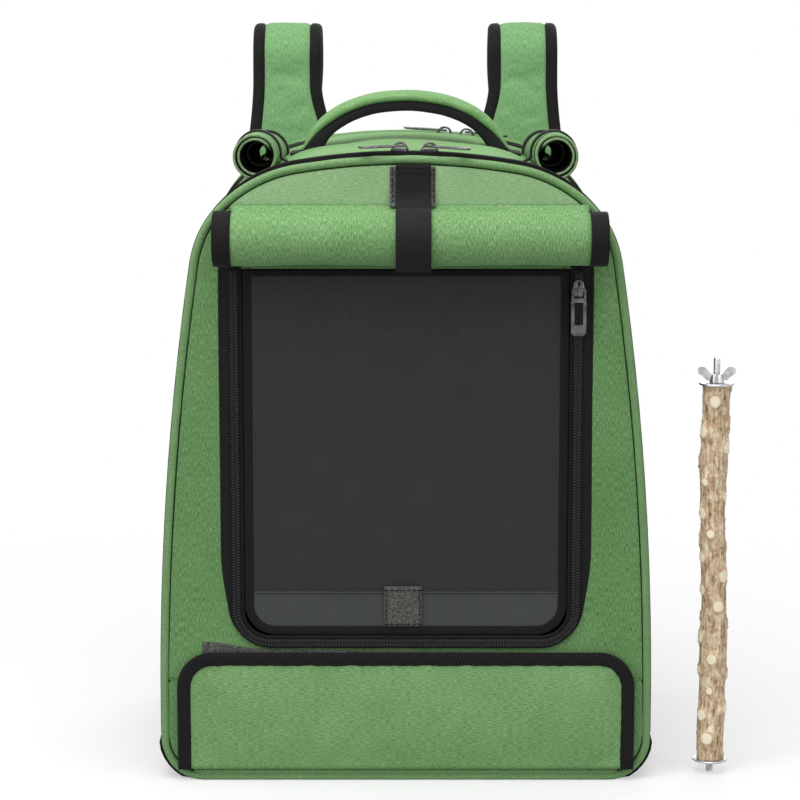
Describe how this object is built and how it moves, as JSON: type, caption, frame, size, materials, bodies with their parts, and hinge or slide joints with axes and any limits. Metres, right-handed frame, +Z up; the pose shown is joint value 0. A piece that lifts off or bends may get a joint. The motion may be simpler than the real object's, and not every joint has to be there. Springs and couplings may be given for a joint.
{
  "type": "bird travel carrier",
  "caption": "Arched fabric backpack carrier for a small bird with a zipped mesh window door, rolled covers, a tray flap, shoulder straps and a loose wooden perch.",
  "frame": {"origin": "on the ground under the middle of the bag", "axes": "+Z up; -Y is the way the front looks; +X to the right of someone who faces the front"},
  "size_m": [0.4062, 0.359, 0.53],
  "materials": {
    "heather": "heathered green polyester canvas, matt",
    "stiff_board": "stiff plastic board, matt",
    "air_mesh": "black spacer mesh, soft",
    "binding": "black twill binding tape",
    "webbing": "black ribbed webbing",
    "window_mesh": "fine dark grey window mesh",
    "zip_tape": "black woven zip tape",
    "zip_coil": "black nylon coil",
    "slider_metal": "gunmetal plated zinc",
    "buckle_plastic": "black moulded acetal",
    "hook_and_loop": "dark grey hook and loop tape",
    "tray_steel": "pressed stainless steel",
    "perch_wood": "natural branch with bark and trimmed knots",
    "perch_steel": "zinc plated steel"
  },
  "bodies": {
    "carrier": {"base_section": "heather", "base_board": "stiff_board", "base_piping": "heather", "gusset_left": "heather", "gusset_right": "heather", "gusset_top": "heather", "back_panel": "heather", "back_board": "stiff_board", "back_pad": "air_mesh", "back_piping": "heather", "strap_yoke": "binding", "side_mesh_left": "window_mesh", "side_mesh_right": "window_mesh", "side_window_bindings": "binding", "side_roll_left": "heather", "side_roll_right": "heather", "side_roll_straps": "webbing", "main_zip_tape": "zip_tape", "main_zip_coil": "zip_coil", "back_zip_tape": "zip_tape", "back_zip_coil": "zip_coil", "handle_padding": "heather", "handle_webbing": "webbing", "handle_tabs": "webbing", "tray": "tray_steel", "strap_pad_left": "heather", "strap_pad_right": "heather", "strap_binding_left": "binding", "strap_binding_right": "binding", "strap_webbing_left": "webbing", "strap_webbing_right": "webbing", "ladder_locks": "buckle_plastic", "strap_anchors": "heather", "perch_branch": "perch_wood", "perch_studs": "perch_steel"},
    "front_cover": {"front_panel": "heather", "front_piping": "heather", "window_zip_tape": "zip_tape", "window_zip_coil": "zip_coil", "front_roll": "heather", "front_roll_bindings": "binding", "front_roll_strap": "webbing", "strap_patch": "hook_and_loop", "flap_loop_strip": "hook_and_loop"},
    "window_door": {"window_mesh": "window_mesh", "window_border": "binding", "window_patch": "hook_and_loop"},
    "tray_flap": {"tray_flap": "heather", "tray_flap_binding": "binding"},
    "window_slider": {"window_slider": "slider_metal"},
    "window_pull": {"window_pull": "slider_metal"},
    "main_slider_left": {"main_slider_left": "slider_metal"},
    "main_slider_right": {"main_slider_right": "slider_metal"},
    "back_slider_left": {"back_slider_left": "slider_metal"},
    "back_slider_right": {"back_slider_right": "slider_metal"},
    "main_pull_left": {"main_pull_left": "slider_metal"},
    "main_pull_right": {"main_pull_right": "slider_metal"},
    "back_pull_left": {"back_pull_left": "slider_metal"},
    "back_pull_right": {"back_pull_right": "slider_metal"},
    "perch_wing_nut": {"perch_wing_nut": "perch_steel"}
  },
  "joints": [
    {"name": "front_cover_opens", "type": "hinge", "parent": "carrier", "child": "front_cover", "pos_m": [0, -0.122, 0.008], "axis": [1, 0, 0], "range_deg": [0, 75]},
    {"name": "window_door_opens", "type": "hinge", "parent": "front_cover", "child": "window_door", "pos_m": [0, -0.1204, 0.3657], "axis": [-1, 0, 0], "range_deg": [0, 75]},
    {"name": "tray_flap_opens", "type": "hinge", "parent": "front_cover", "child": "tray_flap", "pos_m": [0, -0.1257, 0.01], "axis": [1, 0, 0], "range_deg": [0, 90]},
    {"name": "window_slider_travel", "type": "slide", "parent": "front_cover", "child": "window_slider", "axis": [0, 0, -1], "range_m": [0, 0.215]},
    {"name": "window_pull_swings", "type": "hinge", "parent": "window_slider", "child": "window_pull", "pos_m": [0.1195, -0.12665, 0.352], "axis": [-1, 0, 0], "range_deg": [0, 75]},
    {"name": "main_slider_left_travel", "type": "hinge", "parent": "carrier", "child": "main_slider_left", "pos_m": [0, -0.109, -0.01163], "axis": [0, -1, 0], "range_deg": [0, 8]},
    {"name": "main_slider_right_travel", "type": "hinge", "parent": "carrier", "child": "main_slider_right", "pos_m": [0, -0.109, -0.01163], "axis": [0, 1, 0], "range_deg": [0, 6.5]},
    {"name": "back_slider_left_travel", "type": "hinge", "parent": "carrier", "child": "back_slider_left", "pos_m": [0, 0.109, -0.01163], "axis": [0, -1, 0], "range_deg": [0, 11.5]},
    {"name": "back_slider_right_travel", "type": "hinge", "parent": "carrier", "child": "back_slider_right", "pos_m": [0, 0.109, -0.01163], "axis": [0, 1, 0], "range_deg": [0, 2.8]},
    {"name": "main_pull_left_swings", "type": "hinge", "parent": "main_slider_left", "child": "main_pull_left", "pos_m": [-0.00403, -0.109, 0.45023], "axis": [-0.5299, 0.848, -0.0046], "range_deg": [0, 90]},
    {"name": "main_pull_right_swings", "type": "hinge", "parent": "main_slider_right", "child": "main_pull_right", "pos_m": [0.01663, -0.109, 0.44995], "axis": [-0.5874, -0.809, 0.0212], "range_deg": [0, 90]},
    {"name": "back_pull_left_swings", "type": "hinge", "parent": "back_slider_left", "child": "back_pull_left", "pos_m": [0.03052, 0.109, 0.44924], "axis": [-0.2075, 0.9781, 0.0137], "range_deg": [0, 90]},
    {"name": "back_pull_right_swings", "type": "hinge", "parent": "back_slider_right", "child": "back_pull_right", "pos_m": [0.04769, 0.109, 0.44778], "axis": [-0.2068, -0.9781, 0.0215], "range_deg": [0, 90]},
    {"name": "perch_wing_nut_spins", "type": "hinge", "parent": "carrier", "child": "perch_wing_nut", "pos_m": [0.219, -0.1, 0.2865], "axis": [0, 0, 1], "continuous": true}
  ]
}
